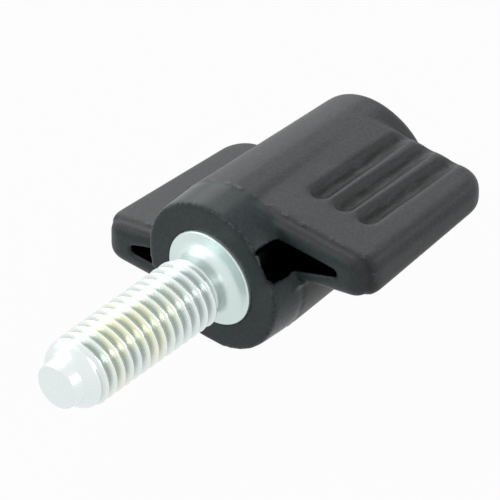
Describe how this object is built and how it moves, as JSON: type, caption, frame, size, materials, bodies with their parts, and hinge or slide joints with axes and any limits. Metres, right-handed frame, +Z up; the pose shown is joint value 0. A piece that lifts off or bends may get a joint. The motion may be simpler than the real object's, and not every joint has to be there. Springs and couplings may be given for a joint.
{
  "type": "wing screw",
  "caption": "Thumb-turned wing screw: black moulded hub with offset grooved wings, cored from the front, on a zinc-plated steel stud with a machine thread and a flat seat.",
  "frame": {"origin": "centre of the stud's seat, the flat steel ring that presses on the work, on the stud's axis", "axes": "-Y runs along the stud towards its tip, +Z is up as the part lies on its lower wing, +X points to the upper wing"},
  "size_m": [0.0226, 0.0315, 0.0108],
  "materials": {
    "black_plastic": "satin",
    "zinc_steel": "satin"
  },
  "bodies": {
    "root": {"wing_knob": "black_plastic", "threaded_stud": "zinc_steel"}
  },
  "joints": []
}
